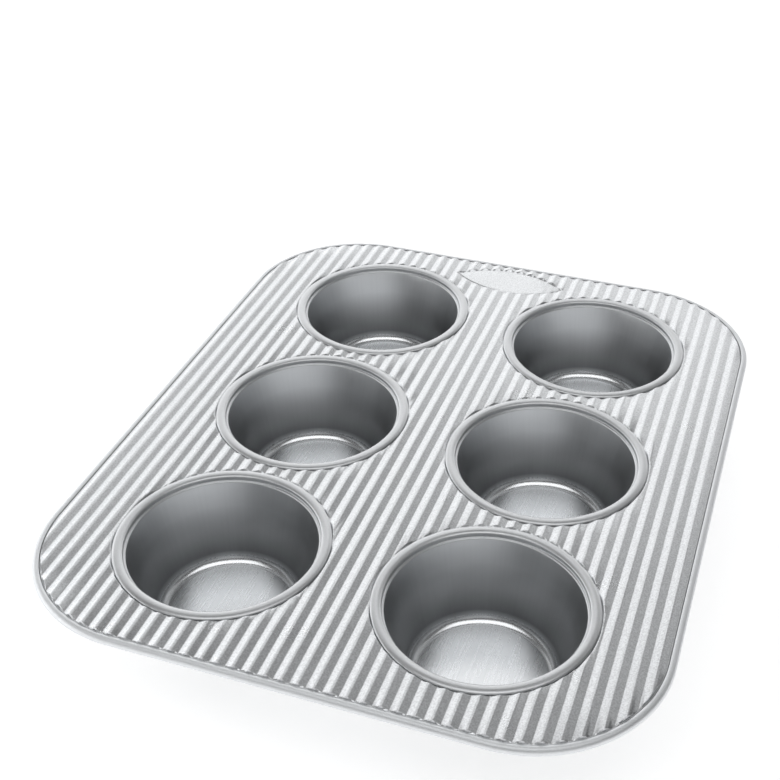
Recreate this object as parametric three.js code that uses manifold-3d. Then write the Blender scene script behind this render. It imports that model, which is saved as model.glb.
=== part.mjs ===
// Six-cup muffin pan: a fluted frame sheet with a rolled edge round a stiffening wire,
// and six drawn cups whose mouths are crimped into the sheet's holes.
// Millimetres, +Z up, front short side at -Y, origin under the middle of the pan at floor level.
import * as THREE from 'three';
import { mergeVertices } from 'three/addons/utils/BufferGeometryUtils.js';
import Module from 'manifold-3d';

const wasm = await Module();
wasm.setup();

// Cups: the depth runs from the sheet's flat face to the floor
const cupThickness = 0.6;
const cupDepth = 35.2;
const mouthRadius = 35;
const wallTaper = 8;
const floorFillet = 4;
const ledgeWidth = 1;
const ledgeRound = 0.3;
const beadWidth = 4;
const beadRise = 1;

// Cup grid: the gaps are between neighbouring beads
const cupColumns = 2;
const cupRows = 3;
const columnGap = 20;
const rowGap = 5;

// Frame sheet: the margins run from the outermost beads to the outside of the rolled edge
const sheetThickness = 0.6;
const sideMargin = 27;
const endMargin = 17.5;
const cornerRadius = 51;
const collarDrop = 0.9;

// Flutes: ridges along Y that stop short of the crimps, the rolled edge and the plaque
const flutePitch = 5.7;
const fluteHeight = 0.9;
const fluteCrestWidth = 1.2;
const fluteValleyDip = 0.05;
const fluteEndGap = 0.3;

// Plaque: a bare flat lens near the back edge
const plaqueLength = 51;
const plaqueWidth = 19;
const plaqueMargin = 6.5;

// Rolled edge
const wireDiameter = 1.6;
const rollRise = 0.4;
const creaseWidth = 0.7;

// Clear space between two pieces that touch on the real pan
const clearance = 0.3;

// Facets
const roundSides = 28;
const cornerSteps = 7;
const filletSteps = 3;
const beadSteps = 4;
const rollSteps = 10;
const wireSides = 8;
const plaqueSteps = 8;
const mergeDistance = 1e-4;

const coatedSteel = { color: 0xc8cacc, roughness: 0.38, metalness: 0.85 };
const wireSteel = { color: 0x9a9c9e, roughness: 0.45, metalness: 0.9 };

// Sizes that follow from the ones above, with z = 0 on the sheet's flat face
const neckInner = mouthRadius + ledgeWidth;
const neckOuter = neckInner + cupThickness;
const beadRadius = neckInner + beadWidth;
const holeRadius = neckOuter + clearance;
const collarOuter = holeRadius + sheetThickness;
const collarBottom = -sheetThickness - collarDrop;
const foldTop = collarBottom - clearance;
const foldBottom = foldTop - 2 * cupThickness;
const standHeight = cupDepth + cupThickness;
const columnPitch = 2 * beadRadius + columnGap;
const rowPitch = 2 * beadRadius + rowGap;
const panWidth = (cupColumns - 1) * columnPitch + 2 * (beadRadius + sideMargin);
const panLength = (cupRows - 1) * rowPitch + 2 * (beadRadius + endMargin);
const rollInner = wireDiameter / 2 + clearance;
const rollOuter = rollInner + sheetThickness;
const rollCentreZ = rollRise - rollOuter;
const rollEntryAngle = Math.PI - Math.asin(-rollCentreZ / rollOuter);
const rollEndAngle = rollEntryAngle - creaseWidth / rollOuter;
const sheetInset = rollOuter - rollOuter * Math.cos(rollEntryAngle);

const cupPlaces = [];
for (let row = 0; row < cupRows; row += 1) {
  for (let column = 0; column < cupColumns; column += 1) {
    const x = (column - (cupColumns - 1) / 2) * columnPitch;
    const y = (row - (cupRows - 1) / 2) * rowPitch;
    cupPlaces.push({ row, column, x, y });
  }
}

// Solids for joining and cutting
function toSolid(geometry) {
  const bare = geometry.clone();
  bare.deleteAttribute('normal');
  bare.deleteAttribute('uv');
  const merged = mergeVertices(bare, mergeDistance);
  const vertProperties = new Float32Array(merged.attributes.position.array);
  const triVerts = new Uint32Array(merged.index.array);
  return new wasm.Manifold(new wasm.Mesh({ numProp: 3, vertProperties, triVerts }));
}

function toGeometry(solid) {
  const mesh = solid.getMesh();
  const geometry = new THREE.BufferGeometry();
  geometry.setAttribute('position', new THREE.BufferAttribute(mesh.vertProperties, mesh.numProp));
  geometry.setIndex(new THREE.BufferAttribute(mesh.triVerts, 1));
  return geometry;
}

// An outline in the XY plane, raised between two levels
function prism(outline, bottom, top) {
  const shape = new THREE.Shape(outline);
  const geometry = new THREE.ExtrudeGeometry(shape, { depth: top - bottom, bevelEnabled: false });
  return toSolid(geometry.translate(0, 0, bottom));
}

// A profile of (radius, height) points turned round the Z axis
function turned(profile) {
  return new THREE.LatheGeometry(profile, roundSides).rotateX(Math.PI / 2);
}

function arcPoints(centreX, centreY, radius, from, to, steps) {
  const points = [];
  for (let step = 0; step <= steps; step += 1) {
    const angle = from + ((to - from) * step) / steps;
    points.push(new THREE.Vector2(centreX + radius * Math.cos(angle), centreY + radius * Math.sin(angle)));
  }
  return points;
}

// A circle with its corners where a turned piece has its own
function circlePoints(place, radius) {
  const start = -Math.PI / 2;
  return arcPoints(place.x, place.y, radius, start, start + 2 * Math.PI, roundSides).slice(1);
}

// Places and outward directions round the pan's outline, moved in by an inset
function outlineStations(inset) {
  const radius = cornerRadius - inset;
  const stations = [];
  for (const [quarter, signX, signY] of [[0, 1, 1], [1, -1, 1], [2, -1, -1], [3, 1, -1]]) {
    const centre = new THREE.Vector2(panWidth / 2 - cornerRadius, panLength / 2 - cornerRadius);
    centre.multiply(new THREE.Vector2(signX, signY));
    for (let step = 0; step <= cornerSteps; step += 1) {
      const angle = (quarter + step / cornerSteps) * (Math.PI / 2);
      const out = new THREE.Vector2(Math.cos(angle), Math.sin(angle));
      stations.push({ place: centre.clone().addScaledVector(out, radius), out });
    }
  }
  return stations;
}

function outlinePoints(inset) {
  return outlineStations(inset).map((station) => station.place);
}

// A lens of two arcs, grown outwards by a margin
function plaquePoints(margin) {
  const rise = plaqueWidth / 2;
  const arcRadius = (plaqueLength ** 2 / 4 + rise ** 2) / (2 * rise);
  const arcDrop = arcRadius - rise;
  const halfAngle = Math.acos(arcDrop / (arcRadius + margin));
  const centreY = panLength / 2 - plaqueMargin - rise;
  const arc = (side) => {
    const middle = (side * Math.PI) / 2;
    const arcY = centreY - side * arcDrop;
    return arcPoints(0, arcY, arcRadius + margin, middle - halfAngle, middle + halfAngle, plaqueSteps);
  };
  return [...arc(1).slice(1), ...arc(-1).slice(1)];
}

// A closed profile of (outward, up) points carried round the pan's outline
function sweepRound(profile, inset) {
  const stations = outlineStations(inset);
  const positions = [];
  for (const { place, out } of stations) {
    for (const point of profile) {
      positions.push(place.x + out.x * point.x, place.y + out.y * point.x, point.y);
    }
  }
  const index = [];
  const count = profile.length;
  for (let i = 0; i < stations.length; i += 1) {
    const here = i * count;
    const next = ((i + 1) % stations.length) * count;
    for (let j = 0; j < count; j += 1) {
      const k = (j + 1) % count;
      index.push(here + j, next + j, next + k, here + j, next + k, here + k);
    }
  }
  const geometry = new THREE.BufferGeometry();
  geometry.setAttribute('position', new THREE.Float32BufferAttribute(positions, 3));
  geometry.setIndex(index);
  return geometry;
}

// The solid between the flutes' upper line, lifted by some height, and a flat level below it
function fluteSolid(lift, level) {
  const ridges = Math.ceil(panWidth / 2 / flutePitch);
  const reach = ridges * flutePitch;
  const valley = lift - fluteValleyDip;
  const line = [
    new THREE.Vector2(-reach, level),
    new THREE.Vector2(reach, level),
    new THREE.Vector2(reach, valley),
  ];
  for (let ridge = ridges - 1; ridge >= -ridges; ridge -= 1) {
    const crest = (ridge + 0.5) * flutePitch;
    line.push(new THREE.Vector2(crest + fluteCrestWidth / 2, lift + fluteHeight));
    line.push(new THREE.Vector2(crest - fluteCrestWidth / 2, lift + fluteHeight));
    line.push(new THREE.Vector2(ridge * flutePitch, valley));
  }
  const shape = new THREE.Shape(line);
  const geometry = new THREE.ExtrudeGeometry(shape, { depth: panLength, bevelEnabled: false });
  return toSolid(geometry.rotateX(Math.PI / 2).translate(0, panLength / 2, 0));
}

// The area that the flutes fill, drawn in by a margin from every edge that stops them
function fluteArea(margin) {
  let area = prism(outlinePoints(sheetInset + fluteEndGap + margin), -cupDepth, cupDepth);
  area = area.subtract(prism(plaquePoints(margin), -standHeight, standHeight));
  for (const place of cupPlaces) {
    const circle = circlePoints(place, beadRadius + fluteEndGap + margin);
    area = area.subtract(prism(circle, -standHeight, standHeight));
  }
  return area;
}

// The sheet turns down inside the wire, passes under it and ends on top, behind an open crease
function rolledEdge() {
  const start = rollEntryAngle - 2 * Math.PI;
  const outside = arcPoints(0, rollCentreZ, rollOuter, start, rollEndAngle, rollSteps);
  const inside = arcPoints(0, rollCentreZ, rollInner, rollEndAngle, start, rollSteps);
  return toSolid(sweepRound([...outside, ...inside], rollOuter));
}

// The edge of a hole, turned down round the neck of its cup
function collar(place) {
  const profile = [
    new THREE.Vector2(holeRadius, collarBottom),
    new THREE.Vector2(collarOuter, collarBottom),
    new THREE.Vector2(collarOuter, 0),
    new THREE.Vector2(holeRadius, 0),
    new THREE.Vector2(holeRadius, collarBottom),
  ];
  return toSolid(turned(profile).translate(place.x, place.y, 0));
}

function frameSheet() {
  let sheet = prism(outlinePoints(sheetInset), -sheetThickness, 0);
  for (const place of cupPlaces) {
    sheet = sheet.subtract(prism(circlePoints(place, holeRadius), -standHeight, standHeight));
    sheet = sheet.add(collar(place));
  }
  sheet = sheet.add(fluteSolid(0, -sheetThickness / 2).intersect(fluteArea(0)));
  sheet = sheet.subtract(fluteSolid(-sheetThickness, -cupDepth).intersect(fluteArea(sheetThickness)));
  return toGeometry(sheet.add(rolledEdge()));
}

function edgeWire() {
  const section = arcPoints(0, rollCentreZ, wireDiameter / 2, 0, 2 * Math.PI, wireSides).slice(1);
  return sweepRound(section, rollOuter);
}

// One cup: from under the floor up the outside to the crimp, over the bead and down the inside
function cupShell() {
  const wallTop = foldTop - ledgeRound;
  const slant = Math.atan2(wallTaper, wallTop + cupDepth);
  const flatRadius = mouthRadius - wallTaper - floorFillet * Math.tan(Math.PI / 4 - slant / 2);
  const filletZ = floorFillet - cupDepth;
  const fillet = (radius) => arcPoints(flatRadius, filletZ, radius, -Math.PI / 2, -slant, filletSteps);
  const foldJoin = mouthRadius + (foldBottom - wallTop) * Math.tan(slant) + cupThickness / Math.cos(slant);
  const bead = arcPoints(0, 0, 1, 0, Math.PI, beadSteps);
  for (const point of bead) {
    point.x = neckInner + (beadWidth / 2) * (1 + point.x);
    point.y = clearance + (beadRise - clearance) * point.y;
  }
  return turned([
    new THREE.Vector2(0, -standHeight),
    ...fillet(floorFillet + cupThickness),
    new THREE.Vector2(foldJoin, foldBottom),
    new THREE.Vector2(collarOuter, foldBottom),
    new THREE.Vector2(collarOuter, foldTop),
    new THREE.Vector2(neckOuter, foldTop),
    new THREE.Vector2(neckOuter, clearance),
    ...bead,
    new THREE.Vector2(neckInner, foldTop + ledgeRound),
    new THREE.Vector2(neckInner - ledgeRound, foldTop),
    new THREE.Vector2(mouthRadius + ledgeRound, foldTop),
    new THREE.Vector2(mouthRadius, wallTop),
    ...fillet(floorFillet).reverse(),
    new THREE.Vector2(0, -cupDepth),
  ]);
}

// The first and last of a row of cups, and the ones between them, by place
function placeName(index, count, first, last) {
  if (index === 0) return first;
  if (index === count - 1) return last;
  return count === 3 ? 'middle' : `middle_${index}`;
}

function addPiece(parent, name, geometry, finish) {
  const piece = new THREE.Mesh(geometry, new THREE.MeshStandardMaterial(finish));
  piece.name = name;
  parent.add(piece);
  return piece;
}

const pan = new THREE.Group();
pan.position.z = standHeight;
addPiece(pan, 'frame_sheet', frameSheet(), coatedSteel);
addPiece(pan, 'edge_wire', edgeWire(), wireSteel);
for (const { row, column, x, y } of cupPlaces) {
  const rowName = placeName(row, cupRows, 'front', 'back');
  const columnName = placeName(column, cupColumns, 'left', 'right');
  const cup = addPiece(pan, `cup_${rowName}_${columnName}`, cupShell(), coatedSteel);
  cup.position.set(x, y, 0);
}

export default pan;
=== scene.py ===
"""Looks of a six-cup muffin pan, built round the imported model.

Metres, +Z up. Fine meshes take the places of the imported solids: a fluted frame sheet with a rolled edge,
the wire inside that edge, and six drawn cups whose beaded mouths are crimped into the sheet.
"""
import math

import bpy
import numpy as np
from mathutils import Matrix, Vector
from mathutils.geometry import delaunay_2d_cdt


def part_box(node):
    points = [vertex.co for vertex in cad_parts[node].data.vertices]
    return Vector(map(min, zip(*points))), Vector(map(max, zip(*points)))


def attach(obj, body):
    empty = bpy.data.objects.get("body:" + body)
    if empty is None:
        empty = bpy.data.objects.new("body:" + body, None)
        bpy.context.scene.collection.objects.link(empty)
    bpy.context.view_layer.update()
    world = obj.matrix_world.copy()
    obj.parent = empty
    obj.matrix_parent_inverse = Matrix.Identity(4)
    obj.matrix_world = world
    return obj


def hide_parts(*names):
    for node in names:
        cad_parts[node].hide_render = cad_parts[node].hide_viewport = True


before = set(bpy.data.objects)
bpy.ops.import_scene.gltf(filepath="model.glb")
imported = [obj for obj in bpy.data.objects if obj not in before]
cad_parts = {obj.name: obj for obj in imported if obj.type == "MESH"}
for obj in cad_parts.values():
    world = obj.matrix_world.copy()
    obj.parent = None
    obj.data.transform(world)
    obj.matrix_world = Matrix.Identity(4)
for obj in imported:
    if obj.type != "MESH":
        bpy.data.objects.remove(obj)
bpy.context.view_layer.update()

MM = 0.001

# Sheet metal
THICKNESS = 0.6 * MM
CLEARANCE = 0.3 * MM

# Flutes: straight flanks, rounded crests and sharper troughs, with shares of the pitch for the two rounds
FLUTE_PITCH = 5.7 * MM
FLUTE_HEIGHT = 0.9 * MM
CREST_SHARE = 0.13
TROUGH_SHARE = 0.03
FLUTE_END = 0.4 * MM
BEAD_RAMP = 0.6 * MM
PLAQUE_RAMP = 0.9 * MM
FLUTE_GAP = 0.05 * MM

# Cups, with heights from the sheet's flat face
CUP_DEPTH = 35.2 * MM
MOUTH_RADIUS = 35.0 * MM
WALL_TAPER = 8.0 * MM
FLOOR_FILLET = 4.0 * MM
LEDGE_WIDTH = 1.0 * MM
LEDGE_ROUND = 0.3 * MM
SHOULDER_ROUND = 0.65 * MM
LEDGE_DROP = 1.2 * MM
BEAD_WIDTH = 4.0 * MM
BEAD_RISE = 1.0 * MM
BEAD_FOOT = 0.2 * MM
LIP_ROUND = 0.25 * MM
COLLAR_DROP = 0.3 * MM
HOLE_ROUND = 0.35 * MM
HOLE_ROUND_WAIST = 0.1 * MM

# Rolled edge and the wire in it
CORNER_RADIUS = 51.0 * MM
WIRE_RADIUS = 0.8 * MM
ROLL_INNER = WIRE_RADIUS + CLEARANCE
ROLL_OUTER = ROLL_INNER + THICKNESS
ROLL_RISE = 0.4 * MM
ROLL_END_ANGLE = math.radians(122)
BEND_RADIUS = 0.2 * MM
EDGE_FLAT = 0.05 * MM
EDGE_INSET = ROLL_OUTER + ROLL_INNER + BEND_RADIUS + EDGE_FLAT

# Plaque: a bare lens near the back edge, a little proud of the troughs
PLAQUE_LENGTH = 51.0 * MM
PLAQUE_WIDTH = 19.0 * MM
PLAQUE_MARGIN = 6.5 * MM
PLAQUE_RISE = 0.3 * MM

# Mesh steps, with columns as shares of the flutes' pitch and rings as shares of the ramps at their ends
ROW_STEP = 16.0 * MM
ARC_STEP = 1.2 * MM
EDGE_STEP = 2.6 * MM
COLUMN_SHARES = (0.0, 0.03, 0.06, 0.34, 0.37, 0.413, 0.457, 0.5, 0.543, 0.587, 0.63, 0.66, 0.94, 0.97)
RING_SHARES = (0.0, 0.12, 0.5, 0.88, 1.0, 1.15)
GRID_MARGIN_SHARE = 0.3
BEND_STEPS = 6
ROLL_INNER_STEPS = 14
ROLL_OUTER_STEPS = 28
WIRE_STEPS = 16
CUP_STEPS = 144
UNDER_FILLET_STEPS = 12
FOLD_STEPS = 8
BEAD_STEPS = 24
LEDGE_STEPS = 6
SHOULDER_STEPS = 8
FILLET_STEPS = 14
SAME_PLACE = 0.001 * MM
SAME_ANGLE = 1e-6
MERGE_DISTANCE = 0.0001 * MM
SHARP_ANGLE = math.radians(50)

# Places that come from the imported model
CUP_NODES = sorted(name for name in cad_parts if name.startswith("cup_"))
sheet_low, sheet_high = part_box("frame_sheet")
HALF_WIDTH = (sheet_high.x - sheet_low.x) / 2
HALF_LENGTH = (sheet_high.y - sheet_low.y) / 2
FACE = sheet_high.z - FLUTE_HEIGHT
NECK_INNER = MOUTH_RADIUS + LEDGE_WIDTH
NECK_OUTER = NECK_INNER + THICKNESS
BEAD_RADIUS = NECK_INNER + BEAD_WIDTH
HOLE_RADIUS = NECK_OUTER + CLEARANCE
COLLAR_RADIUS = HOLE_RADIUS + THICKNESS
ROLL_CENTRE = ROLL_RISE - ROLL_OUTER


def cup_centre(node):
    low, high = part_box(node)
    return np.array([(low.x + high.x) / 2, (low.y + high.y) / 2])


CUP_CENTRES = [cup_centre(node) for node in CUP_NODES]


# Shapes

def arc(centre, radius, start, end, steps):
    """Points on an arc, from one angle to another, ends included."""
    angles = np.linspace(start, end, steps + 1)
    return np.column_stack([centre[0] + radius * np.cos(angles), centre[1] + radius * np.sin(angles)])


def ramp_share(distance, start, width):
    """Share of a ramp's height, from 0 where it starts to 1 at its width."""
    return np.clip((distance - start) / width, 0.0, 1.0)


def flute_height(x):
    """Height of the flutes above their troughs: the slope's integral from the nearest trough."""
    phase = np.mod(x / FLUTE_PITCH, 1.0)
    run = np.minimum(phase, 1.0 - phase)
    top = 0.5 - CREST_SHARE
    trough = run**2 / (2 * TROUGH_SHARE)
    flank = run - TROUGH_SHARE / 2
    crest = top - TROUGH_SHARE / 2 + CREST_SHARE / 2 - (0.5 - run) ** 2 / (2 * CREST_SHARE)
    rise = np.where(run < TROUGH_SHARE, trough, np.where(run < top, flank, crest))
    return FLUTE_HEIGHT * rise / (0.5 - TROUGH_SHARE / 2 - CREST_SHARE / 2)


def edge_inset(points):
    """Distance inwards from the pan's outline."""
    corner = np.abs(points) - np.array([HALF_WIDTH - CORNER_RADIUS, HALF_LENGTH - CORNER_RADIUS])
    outside = np.hypot(*np.maximum(corner, 0.0).T)
    return CORNER_RADIUS - outside - np.minimum(corner.max(axis=1), 0.0)


PLAQUE_ARC = (PLAQUE_LENGTH**2 / 4 + PLAQUE_WIDTH**2 / 4) / PLAQUE_WIDTH
PLAQUE_DROP = PLAQUE_ARC - PLAQUE_WIDTH / 2
PLAQUE_Y = HALF_LENGTH - PLAQUE_MARGIN - PLAQUE_WIDTH / 2


def plaque_distance(points):
    """Distance outwards from the plaque's lens, which two discs share."""
    x, y = points.T
    back = np.hypot(x, y - PLAQUE_Y + PLAQUE_DROP)
    front = np.hypot(x, y - PLAQUE_Y - PLAQUE_DROP)
    return np.maximum(back, front) - PLAQUE_ARC


def bead_distance(points):
    """Distance outwards from the nearest bead."""
    return np.min([np.hypot(*(points - centre).T) for centre in CUP_CENTRES], axis=0) - BEAD_RADIUS


def sheet_height(points):
    """Height of the sheet's upper face, whose flutes stop at the edge, the beads and the plaque."""
    lens = plaque_distance(points)
    ends = ramp_share(edge_inset(points), EDGE_INSET, FLUTE_END)
    ends *= ramp_share(bead_distance(points), FLUTE_GAP, BEAD_RAMP)
    ends *= ramp_share(lens, 0.0, PLAQUE_RAMP)
    plaque = PLAQUE_RISE * (1.0 - ramp_share(lens, -FLUTE_END, FLUTE_END))
    return FACE + flute_height(points[:, 0]) * ends + plaque


# Points of the sheet's mesh

def column_places():
    pitches = math.ceil(HALF_WIDTH / FLUTE_PITCH)
    places = np.add.outer(np.arange(-pitches, pitches), COLUMN_SHARES) * FLUTE_PITCH
    return places.ravel()


COLUMNS = column_places()
ROWS = np.arange(-HALF_LENGTH + ROW_STEP / 2, HALF_LENGTH, ROW_STEP)


def crossing_arc(centre, radius, start, end):
    """Points where an arc crosses the flutes' columns, with its ends, and with long stretches split."""
    across = (COLUMNS - centre[0]) / radius
    turn = np.arccos(across[np.abs(across) < 1.0])
    angles = np.concatenate([turn, -turn, 2 * math.pi - turn, 2 * math.pi + turn])
    angles = angles[(angles > start + SAME_ANGLE) & (angles < end - SAME_ANGLE)]
    angles = np.concatenate([[start], np.sort(angles), [end]])
    stretches = []
    for first, last in zip(angles[:-1], angles[1:]):
        pieces = max(1, math.ceil((last - first) * radius / ARC_STEP))
        stretches.append(np.linspace(first, last, pieces + 1)[:-1])
    angles = np.concatenate([*stretches, [end]])
    return np.column_stack([centre[0] + radius * np.cos(angles), centre[1] + radius * np.sin(angles)])


def edge_ring(inset):
    """Points where the pan's outline, moved in, crosses the flutes' columns and the mesh's rows."""
    radius = CORNER_RADIUS - inset
    run_x = HALF_WIDTH - CORNER_RADIUS
    run_y = HALF_LENGTH - CORNER_RADIUS
    columns = COLUMNS[np.abs(COLUMNS) < run_x]
    rows = ROWS[np.abs(ROWS) < run_y]
    parts = []
    for side in (-1, 1):
        parts.append(np.column_stack([columns, np.full(len(columns), side * (HALF_LENGTH - inset))]))
        parts.append(np.column_stack([np.full(len(rows), side * (HALF_WIDTH - inset)), rows]))
    for quarter, (side_x, side_y) in enumerate([(1, 1), (-1, 1), (-1, -1), (1, -1)]):
        start = quarter * math.pi / 2
        parts.append(crossing_arc((side_x * run_x, side_y * run_y), radius, start, start + math.pi / 2))
    return np.vstack(parts)


def plaque_ring(offset):
    """Points where the plaque's lens, moved out, crosses the flutes' columns."""
    radius = PLAQUE_ARC + offset
    half = math.acos(PLAQUE_DROP / radius)
    to_back, to_front = math.pi / 2, 3 * math.pi / 2
    back = crossing_arc((0.0, PLAQUE_Y - PLAQUE_DROP), radius, to_back - half, to_back + half)
    front = crossing_arc((0.0, PLAQUE_Y + PLAQUE_DROP), radius, to_front - half, to_front + half)
    return np.vstack([back[:-1], front[:-1]])


def edge_stations():
    """Places on the pan's outline and their outward directions, in order, for what runs round it."""
    run_x = HALF_WIDTH - CORNER_RADIUS
    run_y = HALF_LENGTH - CORNER_RADIUS
    corner_steps = math.ceil(CORNER_RADIUS * math.pi / 2 / EDGE_STEP)
    places, outs = [], []
    corners = [(run_x, run_y), (-run_x, run_y), (-run_x, -run_y), (run_x, -run_y)]
    for quarter, corner in enumerate(corners):
        angles = (quarter + np.linspace(0.0, 1.0, corner_steps + 1)) * math.pi / 2
        out = np.column_stack([np.cos(angles), np.sin(angles)])
        places.append(np.array(corner) + CORNER_RADIUS * out)
        outs.append(out)
        run = np.array(corners[(quarter + 1) % 4]) - np.array(corner)
        steps = math.ceil(np.hypot(*run) / EDGE_STEP)
        shares = np.arange(1, steps)[:, None] / steps
        places.append(places[-1][-1] + shares * run)
        outs.append(np.repeat(out[-1:], steps - 1, axis=0))
    return np.vstack(places), np.vstack(outs)


# Mesh building

class MeshParts:
    """Vertices and faces gathered for one mesh."""

    def __init__(self):
        self.points = []
        self.faces = []

    def add_points(self, points):
        start = len(self.points)
        self.points.extend(map(tuple, points))
        return list(range(start, len(self.points)))

    def join_loops(self, first, second):
        """Quads between two closed loops of as many points."""
        count = len(first)
        for i in range(count):
            j = (i + 1) % count
            self.faces.append((first[i], first[j], second[j], second[i]))

    def make(self, name):
        """An object with the gathered mesh, smooth apart from its sharp edges."""
        mesh = bpy.data.meshes.new(name)
        mesh.from_pydata(self.points, [], self.faces)
        mesh.validate()
        mesh.shade_smooth()
        mesh.set_sharp_from_angle(angle=SHARP_ANGLE)
        piece = bpy.data.objects.new(name, mesh)
        bpy.context.scene.collection.objects.link(piece)
        return piece


def circle_loop(centre, radius, height):
    angles = np.arange(CUP_STEPS) * 2 * math.pi / CUP_STEPS
    x = centre[0] + radius * np.cos(angles)
    y = centre[1] + radius * np.sin(angles)
    return np.column_stack([x, y, np.full(CUP_STEPS, height)])


def column_edges(points):
    """Pairs of neighbouring points on each flute column, so that the mesh keeps the flutes' lines."""
    column = np.minimum(np.searchsorted(COLUMNS, points[:, 0] - SAME_PLACE), len(COLUMNS) - 1)
    column[np.abs(COLUMNS[column] - points[:, 0]) > SAME_PLACE] = -1
    order = np.lexsort((points[:, 1], column))
    first, second = order[:-1], order[1:]
    same = (column[first] == column[second]) & (column[first] >= 0)
    first, second = first[same], second[same]
    middle = (points[first] + points[second]) / 2
    on_sheet = bead_distance(middle) > COLLAR_RADIUS - BEAD_RADIUS + CLEARANCE
    return list(zip(first[on_sheet].tolist(), second[on_sheet].tolist()))


def flute_end_rings():
    """Rings of points on the ramps at the flutes' ends: at the edge, the plaque and the beads."""
    rings = [edge_ring(EDGE_INSET + share * FLUTE_END) for share in RING_SHARES[1:]]
    rings += [plaque_ring(-share * FLUTE_END) for share in RING_SHARES]
    rings += [plaque_ring(share * PLAQUE_RAMP) for share in RING_SHARES[1:]]
    for centre in CUP_CENTRES:
        for share in RING_SHARES:
            radius = BEAD_RADIUS + FLUTE_GAP + share * BEAD_RAMP
            rings.append(crossing_arc(centre, radius, 0.0, 2 * math.pi)[:-1])
    return rings


def sheet_grid():
    """Points where the flutes' columns cross the mesh's rows, clear of the ramps at the flutes' ends."""
    grid = np.array([(x, y) for x in COLUMNS for y in ROWS])
    margin = RING_SHARES[-1] + GRID_MARGIN_SHARE
    clear = edge_inset(grid) > EDGE_INSET + margin * FLUTE_END
    clear &= bead_distance(grid) > FLUTE_GAP + margin * BEAD_RAMP
    lens = plaque_distance(grid)
    clear &= (lens < -margin * FLUTE_END) | (lens > margin * PLAQUE_RAMP)
    return grid[clear]


def sheet_plan():
    """The sheet's plan: its points, its triangles, its outline loop and its hole loops."""
    places, outs = edge_stations()
    outline = places - EDGE_INSET * outs
    holes = [circle_loop(centre, COLLAR_RADIUS, FACE)[:, :2] for centre in CUP_CENTRES]
    points = np.vstack([outline, *holes, *flute_end_rings(), sheet_grid()])
    loops, start = [], 0
    for loop in [outline, *holes]:
        loops.append(np.arange(start, start + len(loop)))
        start += len(loop)
    lines = [(int(a), int(b)) for loop in loops for a, b in zip(loop, np.roll(loop, -1))]
    lines += column_edges(points)
    merged = delaunay_2d_cdt([Vector(p) for p in points / MM], lines, [], 0, MERGE_DISTANCE / MM)
    kept = np.array(merged[0]) * MM
    place_of = {old: new for new, olds in enumerate(merged[3]) for old in olds}
    loops = [[place_of[int(i)] for i in loop] for loop in loops]
    inside = [set(loop) for loop in loops[1:]]
    triangles = [t for t in merged[2] if not any(hole.issuperset(t) for hole in inside)]
    return kept, triangles, loops[0], loops[1:]


def roll_profile():
    """The rolled edge as (inset, height), from the sheet's upper face round the wire to its underside."""
    centre = (ROLL_OUTER, ROLL_CENTRE)
    bend_centre = (ROLL_OUTER + ROLL_INNER + BEND_RADIUS, -BEND_RADIUS)
    bend = arc(bend_centre, BEND_RADIUS, math.pi / 2, math.pi, BEND_STEPS)
    end = math.pi + ROLL_END_ANGLE
    inner = arc(centre, ROLL_INNER, 0.0, -end, ROLL_INNER_STEPS)
    outer = arc(centre, ROLL_OUTER, -end, 0.0, ROLL_OUTER_STEPS)
    return np.vstack([bend, inner, outer])


def edge_loops(parts, profile):
    """Loops of points round the pan's outline, one for each (inset, height) of a profile."""
    places, outs = edge_stations()
    loops = []
    for inset, height in profile:
        ring = places - inset * outs
        loops.append(parts.add_points(np.column_stack([ring, np.full(len(ring), FACE + height)])))
    return loops


def add_collars(parts, top, bottom, holes):
    """The holes' rounded edges and the collars that go down from them."""
    collar_end = FACE - THICKNESS - COLLAR_DROP
    profile = [
        (HOLE_RADIUS + HOLE_ROUND, FACE),
        (HOLE_RADIUS + HOLE_ROUND_WAIST, FACE - HOLE_ROUND_WAIST),
        (HOLE_RADIUS, FACE - HOLE_ROUND),
        (HOLE_RADIUS, collar_end),
        (COLLAR_RADIUS, collar_end),
    ]
    for hole, centre in zip(holes, CUP_CENTRES):
        loops = [[top[i] for i in hole]]
        loops += [parts.add_points(circle_loop(centre, radius, height)) for radius, height in profile]
        loops.append([bottom[i] for i in hole])
        for first, second in zip(loops[:-1], loops[1:]):
            parts.join_loops(first, second)


FLUTED_SLOT, EDGE_SLOT = range(2)


def sheet_piece():
    """The sheet, with its rolled edge in a material slot of its own."""
    plan, triangles, outline, holes = sheet_plan()
    heights = sheet_height(plan)
    parts = MeshParts()
    top = parts.add_points(np.column_stack([plan, heights]))
    bottom = parts.add_points(np.column_stack([plan, heights - THICKNESS]))
    parts.faces.extend(tuple(t) for t in triangles)
    parts.faces.extend(tuple(bottom[i] for i in reversed(t)) for t in triangles)
    add_collars(parts, top, bottom, holes)
    slots = [FLUTED_SLOT] * len(parts.faces)
    loops = [[top[i] for i in outline]]
    loops += edge_loops(parts, roll_profile())
    loops.append([bottom[i] for i in outline])
    for first, second in zip(loops[:-1], loops[1:]):
        parts.join_loops(second, first)
    slots += [EDGE_SLOT] * (len(parts.faces) - len(slots))
    piece = parts.make("sheet")
    piece.data.polygons.foreach_set("material_index", slots)
    return piece


def wire_piece():
    """The wire, closed round the pan inside the rolled edge."""
    parts = MeshParts()
    section = arc((ROLL_OUTER, ROLL_CENTRE), WIRE_RADIUS, 0.0, 2 * math.pi, WIRE_STEPS)[:-1]
    loops = edge_loops(parts, section)
    for first, second in zip(loops, loops[1:] + loops[:1]):
        parts.join_loops(second, first)
    return parts.make("wire")


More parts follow.
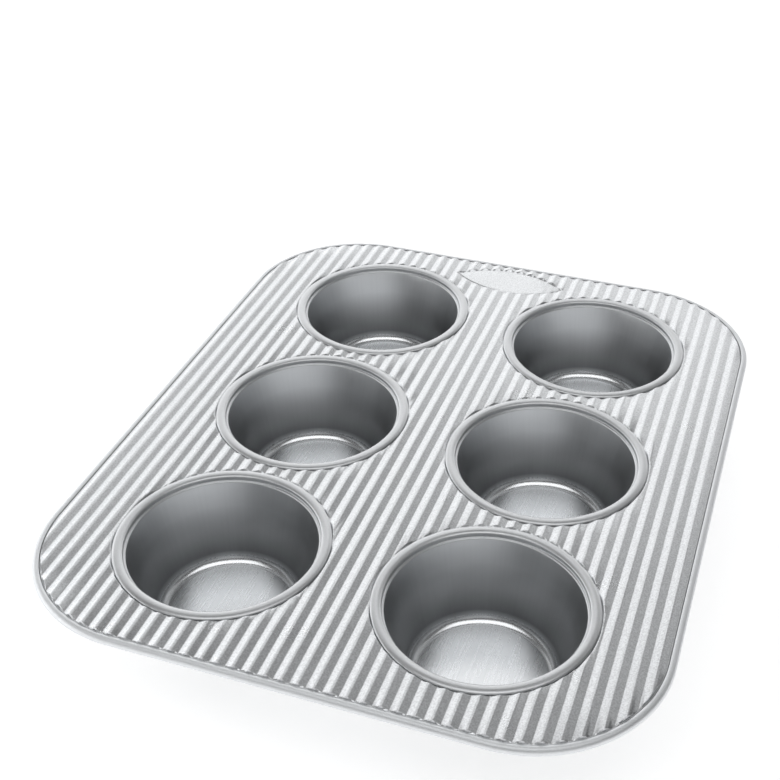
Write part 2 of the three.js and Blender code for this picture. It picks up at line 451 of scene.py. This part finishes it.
def cup_profile():
    """A cup as (radius, height): under the floor, up outside to the crimp, over the bead, down inside."""
    wall_top = -LEDGE_DROP - SHOULDER_ROUND
    slant = math.atan2(WALL_TAPER, wall_top + CUP_DEPTH)
    flat = MOUTH_RADIUS - WALL_TAPER - FLOOR_FILLET * math.tan(math.pi / 4 - slant / 2)
    fillet = (flat, FLOOR_FILLET - CUP_DEPTH)
    fold_middle = -LEDGE_DROP - THICKNESS
    fold_bottom = fold_middle - THICKNESS
    wall_out = MOUTH_RADIUS + (fold_bottom - wall_top) * math.tan(slant) + THICKNESS / math.cos(slant)
    bead_middle = NECK_INNER + BEAD_WIDTH / 2
    bead = arc((0.0, 0.0), 1.0, 0.0, math.pi, BEAD_STEPS)
    bead = bead * [BEAD_WIDTH / 2, BEAD_RISE - BEAD_FOOT] + [bead_middle, BEAD_FOOT]
    ledge = (NECK_INNER - LEDGE_ROUND, LEDGE_ROUND - LEDGE_DROP)
    shoulder = (MOUTH_RADIUS + SHOULDER_ROUND, wall_top)
    up, down = math.pi / 2, -math.pi / 2
    return np.vstack([
        [(0.0, -CUP_DEPTH - THICKNESS)],
        arc(fillet, FLOOR_FILLET + THICKNESS, down, -slant, UNDER_FILLET_STEPS),
        [(wall_out, fold_bottom)],
        arc((COLLAR_RADIUS - THICKNESS, fold_middle), THICKNESS, down, up, FOLD_STEPS),
        [(NECK_OUTER, -LEDGE_DROP), (NECK_OUTER, BEAD_FOOT), (BEAD_RADIUS - LIP_ROUND, BEAD_FOOT)],
        bead,
        arc(ledge, LEDGE_ROUND, 0.0, down, LEDGE_STEPS),
        arc(shoulder, SHOULDER_ROUND, up, math.pi - slant, SHOULDER_STEPS),
        arc(fillet, FLOOR_FILLET, -slant, down, FILLET_STEPS),
        [(flat / 2, -CUP_DEPTH), (0.0, -CUP_DEPTH)],
    ])


RIM_SLOT, WALL_SLOT, FLOOR_SLOT = range(3)


def cup_slot(radius, height):
    """The material slot of a place on the cup's profile: rim, wall with its fillet, or flat floor."""
    if height > -LEDGE_DROP - SHOULDER_ROUND:
        return RIM_SLOT
    return WALL_SLOT if radius > MOUTH_RADIUS - WALL_TAPER - FLOOR_FILLET else FLOOR_SLOT


def cup_piece(name, centre):
    """A cup turned round its own axis, with its origin on that axis at the sheet's flat face."""
    profile = cup_profile()
    parts = MeshParts()
    under = parts.add_points([(0.0, 0.0, profile[0][1])])[0]
    floor = parts.add_points([(0.0, 0.0, profile[-1][1])])[0]
    loops = [parts.add_points(circle_loop((0.0, 0.0), radius, height)) for radius, height in profile[1:-1]]
    for first, second in zip(loops[:-1], loops[1:]):
        parts.join_loops(first, second)
    for i in range(CUP_STEPS):
        j = (i + 1) % CUP_STEPS
        parts.faces.append((under, loops[0][j], loops[0][i]))
        parts.faces.append((floor, loops[-1][i], loops[-1][j]))
    piece = parts.make(name)
    middles = (profile[1:-2] + profile[2:-1]) / 2
    strips = np.repeat([cup_slot(*middle) for middle in middles], CUP_STEPS)
    poles = np.full(2 * CUP_STEPS, FLOOR_SLOT)
    piece.data.polygons.foreach_set("material_index", np.concatenate([strips, poles]))
    piece.location = (*centre, FACE)
    return piece


# Materials

STEEL = (0.735, 0.75, 0.765)
WIRE_STEEL = (0.55, 0.56, 0.57)
SPECK_SHADE = 0.55
FINE_GRAIN = 0.6 * MM
CLOUD_GRAIN = 22.0 * MM
DRAW_GRAIN = 1.6 * MM
FINE_DETAIL = 2.0
SOFT_DETAIL = 3.0
DRAW_SPREAD = 0.2
BRUSH_STRETCH = 0.05
GRAIN_DEPTH = 0.03 * MM
WALL_GRAIN_DEPTH = GRAIN_DEPTH / 3
FLOOR_GRAIN_DEPTH = GRAIN_DEPTH / 20

# Ranges of noise that a material takes from end to end
SOFT_RANGE = (0.3, 0.7)
SPECKLE_RANGE = (0.38, 0.62)

# Heights on the cup's wall, from the sheet's flat face, between which its painted shade (darker towards the
# bottom) and its fillet's painted light and smoother finish change
WALL_PAINTED_SHADE_RANGE = (5.0 * MM - CUP_DEPTH, -11.0 * MM)
FILLET_GLOSS_AND_PAINTED_LIGHT_RANGE = (1.0 * MM - CUP_DEPTH, 4.5 * MM - CUP_DEPTH)


def shade(colour, share):
    return tuple(share * channel for channel in colour)


class MetalNodes:
    """The node tree of a metal material."""

    def __init__(self, name):
        self.material = bpy.data.materials.new(name)
        self.material.use_nodes = True
        self.tree = self.material.node_tree
        self.shader = self.tree.nodes["Principled BSDF"]
        self.shader.inputs["Metallic"].default_value = 1.0
        self.place = self.add("ShaderNodeTexCoord").outputs["Object"]

    def add(self, kind, **settings):
        node = self.tree.nodes.new(kind)
        for setting, value in settings.items():
            setattr(node, setting, value)
        return node

    def join(self, source, target):
        self.tree.links.new(source, target)

    def run_around(self):
        """Gloss spread around the object's own axis, as upright draw lines spread it."""
        self.shader.inputs["Anisotropic"].default_value = DRAW_SPREAD
        tangent = self.add("ShaderNodeTangent", direction_type="RADIAL", axis="Z")
        self.join(tangent.outputs[0], self.shader.inputs["Tangent"])

    def vector_math(self, operation, place, factors=None):
        node = self.add("ShaderNodeVectorMath", operation=operation)
        self.join(place, node.inputs[0])
        if factors:
            node.inputs[1].default_value = factors
        return node.outputs[0]

    def noise(self, place, grain, detail):
        """Noise from 0 to 1 whose grains have the given size."""
        node = self.add("ShaderNodeTexNoise")
        self.join(place, node.inputs["Vector"])
        node.inputs["Scale"].default_value = 1.0 / grain
        node.inputs["Detail"].default_value = detail
        return node.outputs["Fac"]

    def fine_grain(self):
        return self.noise(self.place, FINE_GRAIN, FINE_DETAIL)

    def clouds(self):
        return self.noise(self.place, CLOUD_GRAIN, SOFT_DETAIL)

    def ramp(self, value, start, end, low, high):
        """A value spread from one range to another, held at its ends."""
        node = self.add("ShaderNodeMapRange")
        self.join(value, node.inputs["Value"])
        node.inputs["From Min"].default_value = start
        node.inputs["From Max"].default_value = end
        for socket, limit in (("To Min", low), ("To Max", high)):
            if isinstance(limit, float):
                node.inputs[socket].default_value = limit
            else:
                self.join(limit, node.inputs[socket])
        return node.outputs["Result"]

    def blend(self, factor, first, second):
        """A mix of two colours, each a value or another node's result."""
        node = self.add("ShaderNodeMixRGB")
        self.join(factor, node.inputs["Fac"])
        for socket, colour in (("Color1", first), ("Color2", second)):
            if isinstance(colour, tuple):
                node.inputs[socket].default_value = (*colour, 1.0)
            else:
                self.join(colour, node.inputs[socket])
        return node.outputs["Color"]

    def finish(self, colour, roughness, height, depth=GRAIN_DEPTH):
        self.join(colour, self.shader.inputs["Base Color"])
        self.join(roughness, self.shader.inputs["Roughness"])
        bump = self.add("ShaderNodeBump")
        bump.inputs["Distance"].default_value = depth
        self.join(height, bump.inputs["Height"])
        self.join(bump.outputs["Normal"], self.shader.inputs["Normal"])
        return self.material


def sheet_metal():
    """Satin sheet: a fine speckle over soft clouds."""
    nodes = MetalNodes("satin_sheet")
    grain = nodes.fine_grain()
    clouds = nodes.clouds()
    cloudy = nodes.blend(clouds, shade(STEEL, 1.04), shade(STEEL, 1.16))
    speckle = nodes.ramp(grain, *SPECKLE_RANGE, 0.0, 0.44)
    colour = nodes.blend(speckle, cloudy, shade(STEEL, SPECK_SHADE))
    roughness = nodes.ramp(clouds, *SOFT_RANGE, 0.27, 0.33)
    return nodes.finish(colour, roughness, grain)


def edge_metal():
    """Rolled edge: the sheet's metal, dulled by the rolling."""
    nodes = MetalNodes("rolled_edge")
    grain = nodes.fine_grain()
    colour = nodes.blend(grain, shade(STEEL, 1.16), shade(STEEL, 1.06))
    roughness = nodes.ramp(grain, *SOFT_RANGE, 0.5, 0.55)
    return nodes.finish(colour, roughness, grain)


def rim_metal():
    """Cup rim: satin, a little duller than the sheet where the crimp rubbed it."""
    nodes = MetalNodes("cup_rim")
    grain = nodes.fine_grain()
    clouds = nodes.clouds()
    cloudy = nodes.blend(clouds, shade(STEEL, 0.86), shade(STEEL, 0.96))
    colour = nodes.blend(nodes.ramp(grain, *SOFT_RANGE, 0.0, 0.12), cloudy, shade(STEEL, SPECK_SHADE))
    roughness = nodes.ramp(clouds, *SOFT_RANGE, 0.34, 0.4)
    return nodes.finish(colour, roughness, grain)


def wall_metal():
    """Cup wall: upright draw lines, with painted shade that darkens it downwards, and a painted lighter,
    smoother fillet.
    """
    nodes = MetalNodes("cup_wall")
    nodes.run_around()
    height = nodes.add("ShaderNodeSeparateXYZ")
    nodes.join(nodes.place, height.inputs[0])
    rise = nodes.ramp(height.outputs["Z"], *WALL_PAINTED_SHADE_RANGE, 0.0, 1.0)
    outward = nodes.vector_math("NORMALIZE", nodes.vector_math("MULTIPLY", nodes.place, (1.0, 1.0, 0.0)))
    around = nodes.vector_math("MULTIPLY", outward, (MOUTH_RADIUS, MOUTH_RADIUS, 0.0))
    lines = nodes.noise(around, DRAW_GRAIN, SOFT_DETAIL)
    # Painted shade: the lower wall is a much darker copy of the steel, blended upwards by rise, standing in
    # for the shade deep in the cup
    painted_shade_wall = nodes.blend(lines, shade(STEEL, 0.34), shade(STEEL, 0.4))
    high_wall = nodes.blend(lines, shade(STEEL, 0.94), shade(STEEL, 1.02))
    above_fillet = nodes.ramp(height.outputs["Z"], *FILLET_GLOSS_AND_PAINTED_LIGHT_RANGE, 0.0, 1.0)
    # Painted light: the fillet takes a lighter copy of the steel, close to the floor's painted brightness,
    # as well as a smoother roughness
    colour = nodes.blend(above_fillet, shade(STEEL, 1.1), nodes.blend(rise, painted_shade_wall, high_wall))
    satin = nodes.ramp(lines, *SOFT_RANGE, 0.3, 0.34)
    roughness = nodes.ramp(above_fillet, 0.0, 1.0, 0.24, satin)
    return nodes.finish(colour, roughness, nodes.fine_grain(), WALL_GRAIN_DEPTH)


def floor_metal():
    """Cup floor: painted light, a much brighter copy of the steel than the walls and sheet have, with a
    straight grain from front to back.
    """
    nodes = MetalNodes("cup_floor")
    along = nodes.vector_math("MULTIPLY", nodes.place, (1.0, BRUSH_STRETCH, 1.0))
    brushed = nodes.noise(along, FINE_GRAIN, FINE_DETAIL)
    # Painted light: the floor's colour is lifted above the steel's own, standing in for the overhead light
    # it faces
    colour = nodes.blend(brushed, shade(STEEL, 1.2), shade(STEEL, 1.27))
    roughness = nodes.ramp(brushed, *SOFT_RANGE, 0.26, 0.3)
    return nodes.finish(colour, roughness, brushed, FLOOR_GRAIN_DEPTH)


def wire_metal():
    """Drawn wire: dull, with a fine grain."""
    nodes = MetalNodes("drawn_wire")
    grain = nodes.fine_grain()
    colour = nodes.blend(grain, shade(WIRE_STEEL, 0.85), shade(WIRE_STEEL, 1.1))
    roughness = nodes.ramp(grain, *SOFT_RANGE, 0.35, 0.45)
    return nodes.finish(colour, roughness, grain)


FLOOR_COLOUR = (0.8, 0.8, 0.8)
NEAR_GLOW, FAR_GLOW = 0.6, 0.92
NEAR_REACH, FAR_REACH = 0.4, 2.0


def seen_rays(tree):
    """1 for rays from the camera and from glossy or clear surfaces, 0 for the others."""
    path = tree.nodes.new("ShaderNodeLightPath")
    seen = path.outputs["Is Camera Ray"]
    for ray in ("Is Glossy Ray", "Is Transmission Ray"):
        either = tree.nodes.new("ShaderNodeMath")
        either.operation = "MAXIMUM"
        tree.links.new(seen, either.inputs[0])
        tree.links.new(path.outputs[ray], either.inputs[1])
        seen = either.outputs[0]
    return seen


def glow_level(tree):
    """The floor's own white, which grows outwards, where the panels' light fades."""
    distance = tree.nodes.new("ShaderNodeVectorMath")
    distance.operation = "LENGTH"
    tree.links.new(tree.nodes.new("ShaderNodeTexCoord").outputs["Object"], distance.inputs[0])
    level = tree.nodes.new("ShaderNodeMapRange")
    tree.links.new(distance.outputs["Value"], level.inputs["Value"])
    limits = {"From Min": NEAR_REACH, "From Max": FAR_REACH, "To Min": NEAR_GLOW, "To Max": FAR_GLOW}
    for socket, limit in limits.items():
        level.inputs[socket].default_value = limit
    return level.outputs["Result"]


def floor_material():
    """A pale floor that takes shadows and has some white of its own, which metal shows as the eye does."""
    material = bpy.data.materials.new("pale_floor")
    material.use_nodes = True
    tree = material.node_tree
    tree.nodes.clear()
    diffuse = tree.nodes.new("ShaderNodeBsdfDiffuse")
    diffuse.inputs["Color"].default_value = (*FLOOR_COLOUR, 1.0)
    share = tree.nodes.new("ShaderNodeMath")
    share.operation = "MULTIPLY"
    tree.links.new(seen_rays(tree), share.inputs[0])
    tree.links.new(glow_level(tree), share.inputs[1])
    glow = tree.nodes.new("ShaderNodeEmission")
    tree.links.new(share.outputs[0], glow.inputs["Strength"])
    both = tree.nodes.new("ShaderNodeAddShader")
    tree.links.new(diffuse.outputs[0], both.inputs[0])
    tree.links.new(glow.outputs[0], both.inputs[1])
    output = tree.nodes.new("ShaderNodeOutputMaterial")
    tree.links.new(both.outputs[0], output.inputs["Surface"])
    return material


# Camera, set by the photograph's framing
CAMERA_AZIMUTH = 0.33367
CAMERA_ELEVATION = 0.6220
CAMERA_ROLL = -0.00229
CAMERA_DISTANCE = 537.64 * MM
CAMERA_TARGET = (-15.43 * MM, 26.82 * MM)
FOCAL_PIXELS = 1261.93
CENTRE_PIXEL = 412.0
FRAME_PIXELS = 780.0
SENSOR_WIDTH = 36.0
NEAREST_SEEN = 0.01


def make_camera():
    camera = bpy.data.objects.new("camera", bpy.data.cameras.new("camera"))
    bpy.context.scene.collection.objects.link(camera)
    back = Vector((
        math.sin(CAMERA_AZIMUTH) * math.cos(CAMERA_ELEVATION),
        -math.cos(CAMERA_AZIMUTH) * math.cos(CAMERA_ELEVATION),
        math.sin(CAMERA_ELEVATION),
    ))
    level = Vector((math.cos(CAMERA_AZIMUTH), math.sin(CAMERA_AZIMUTH), 0.0))
    upright = back.cross(level)
    right = math.cos(CAMERA_ROLL) * level + math.sin(CAMERA_ROLL) * upright
    up = back.cross(right)
    turn = Matrix((right, up, back)).transposed().to_4x4()
    place = Vector((*CAMERA_TARGET, FACE)) + CAMERA_DISTANCE * back
    camera.matrix_world = Matrix.Translation(place) @ turn
    camera.data.sensor_width = SENSOR_WIDTH
    camera.data.lens = SENSOR_WIDTH * FOCAL_PIXELS / FRAME_PIXELS
    camera.data.shift_x = 0.5 - CENTRE_PIXEL / FRAME_PIXELS
    camera.data.clip_start = NEAREST_SEEN
    bpy.context.scene.camera = camera


# Studio: soft panels by direction from the pan, with an azimuth from its back towards its right
PANEL_DISTANCE = 1.8
SKY_BRIGHTNESS = 0.1


def add_panel(name, azimuth, elevation, width, height, brightness):
    """A panel facing the pan, with its angles in degrees and a brightness of 1 where it looks white."""
    turn, lift = math.radians(azimuth), math.radians(elevation)
    towards = Vector((math.sin(turn) * math.cos(lift), math.cos(turn) * math.cos(lift), math.sin(lift)))
    lamp = bpy.data.lights.new(name, "AREA")
    lamp.shape = "RECTANGLE"
    lamp.size, lamp.size_y = width, height
    lamp.energy = math.pi * width * height * brightness
    panel = bpy.data.objects.new(name, lamp)
    bpy.context.scene.collection.objects.link(panel)
    panel.location = PANEL_DISTANCE * towards
    panel.rotation_euler = towards.to_track_quat("Z", "Y").to_euler()


def make_sky():
    """A dim, even light from all round."""
    world = bpy.data.worlds.new("studio")
    bpy.context.scene.world = world
    world.use_nodes = True
    background = world.node_tree.nodes["Background"]
    background.inputs["Color"].default_value = (1.0, 1.0, 1.0, 1.0)
    background.inputs["Strength"].default_value = SKY_BRIGHTNESS


def make_light():
    """Low panels all round, brightest on the left and at the back, a dimmer row above, and one overhead."""
    make_sky()
    add_panel("front_panel", 155, 22, 1.9, 1.1, 0.35)
    add_panel("front_left_panel", -136, 14, 1.2, 1.0, 1.1)
    add_panel("left_panel", -92, 18, 1.8, 1.2, 1.25)
    add_panel("back_left_panel", -40, 18, 1.83, 1.17, 1.2)
    add_panel("back_panel", 6, 19, 1.0, 1.2, 0.95)
    add_panel("back_right_panel", 34, 18, 0.77, 1.17, 0.5)
    add_panel("right_panel", 95, 8, 2.0, 0.5, 0.3)
    add_panel("upper_left_panel", -29, 48, 1.36, 0.76, 0.65)
    add_panel("upper_right_panel", 33, 48, 0.9, 0.76, 0.25)
    add_panel("high_back_panel", -15, 48, 0.34, 0.5, 0.8)
    add_panel("top_panel", 160, 76, 2.1, 1.2, 1.25)


FLOOR_REACH = 12.0
FLOOR_TURN_UP = 0.9
FLOOR_LEVEL = -0.2 * MM
FLOOR_STEPS = 72


def make_floor():
    """A round floor whose far edge turns up just past the horizon."""
    angles = np.arange(FLOOR_STEPS) * 2 * math.pi / FLOOR_STEPS
    ring = np.column_stack([FLOOR_REACH * np.cos(angles), FLOOR_REACH * np.sin(angles)])
    parts = MeshParts()
    flat = parts.add_points(np.column_stack([ring, np.full(FLOOR_STEPS, FLOOR_LEVEL)]))
    top = parts.add_points(np.column_stack([ring, np.full(FLOOR_STEPS, FLOOR_TURN_UP)]))
    parts.faces.append(tuple(flat))
    parts.join_loops(top, flat)
    floor = parts.make("floor")
    floor.data.materials.append(floor_material())


# The studio, then the pan
make_camera()
make_light()
make_floor()

sheet_materials = [sheet_metal(), edge_metal()]
wire_material = wire_metal()
cup_materials = [rim_metal(), wall_metal(), floor_metal()]

sheet = sheet_piece()
for material in sheet_materials:
    sheet.data.materials.append(material)
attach(sheet, "root")
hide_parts("frame_sheet")

wire = wire_piece()
wire.data.materials.append(wire_material)
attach(wire, "root")
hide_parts("edge_wire")

for node, centre in zip(CUP_NODES, CUP_CENTRES):
    cup = cup_piece(node.replace("cup_", "drawn_cup_"), centre)
    for material in cup_materials:
        cup.data.materials.append(material)
    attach(cup, "root")
    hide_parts(node)

bpy.context.scene.view_settings.view_transform = "Standard"
